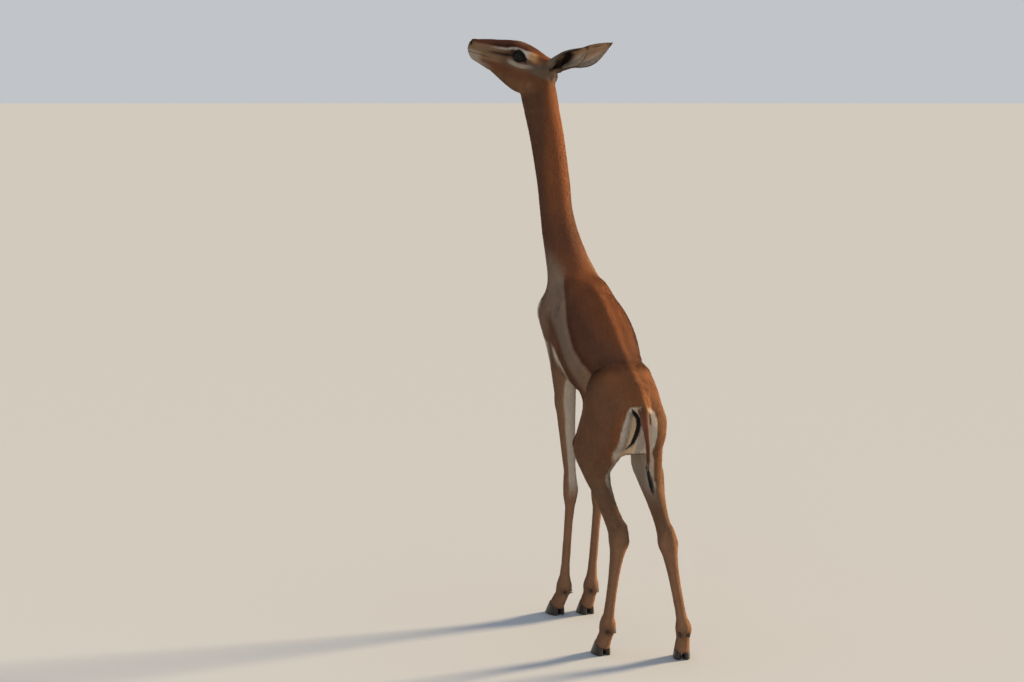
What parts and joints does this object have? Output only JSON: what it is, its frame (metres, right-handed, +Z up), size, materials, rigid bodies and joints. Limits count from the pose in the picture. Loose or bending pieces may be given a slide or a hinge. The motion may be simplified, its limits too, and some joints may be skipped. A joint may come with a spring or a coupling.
{
  "type": "gerenuk",
  "caption": "Life-size female gerenuk antelope standing on its hooves with a long neck raised, the head turned to browse and large ears laid back.",
  "frame": {"origin": "middle of the bounding box's base, at the height of the soles", "axes": "+X forward along the trunk, +Y the animal's left, +Z up, the longest extent"},
  "size_m": [0.8204, 0.3738, 1.4439],
  "materials": {
    "coat_rufous": "short sleek reddish-brown fur",
    "coat_tan": "short sleek tan fur, paler below",
    "coat_legs": "short sleek fur, whitish on the inner sides",
    "ear_skin": "thin haired skin, pale inside",
    "eye": "glossy, wet and very dark brown",
    "hoof_horn": "smooth dark horn, slightly glossy",
    "tuft_hair": "long blackish tail hair"
  },
  "bodies": {
    "root": {"head": "coat_rufous", "neck": "coat_rufous", "chest": "coat_tan", "hindquarters": "coat_rufous", "tail": "coat_rufous", "tail_tuft": "tuft_hair", "eye_left": "eye", "eye_right": "eye", "ear_left": "ear_skin", "ear_right": "ear_skin", "fore_left_forearm": "coat_legs", "fore_left_cannon": "coat_legs", "fore_left_pastern": "coat_legs", "fore_right_forearm": "coat_legs", "fore_right_cannon": "coat_legs", "fore_right_pastern": "coat_legs", "hind_left_gaskin": "coat_legs", "hind_left_cannon": "coat_legs", "hind_left_pastern": "coat_legs", "hind_right_gaskin": "coat_legs", "hind_right_cannon": "coat_legs", "hind_right_pastern": "coat_legs", "hoof_fore_left_left": "hoof_horn", "dewclaw_fore_left_left": "hoof_horn", "hoof_fore_left_right": "hoof_horn", "dewclaw_fore_left_right": "hoof_horn", "hoof_fore_right_left": "hoof_horn", "dewclaw_fore_right_left": "hoof_horn", "hoof_fore_right_right": "hoof_horn", "dewclaw_fore_right_right": "hoof_horn", "hoof_hind_left_left": "hoof_horn", "dewclaw_hind_left_left": "hoof_horn", "hoof_hind_left_right": "hoof_horn", "dewclaw_hind_left_right": "hoof_horn", "hoof_hind_right_left": "hoof_horn", "dewclaw_hind_right_left": "hoof_horn", "hoof_hind_right_right": "hoof_horn", "dewclaw_hind_right_right": "hoof_horn"}
  },
  "joints": []
}
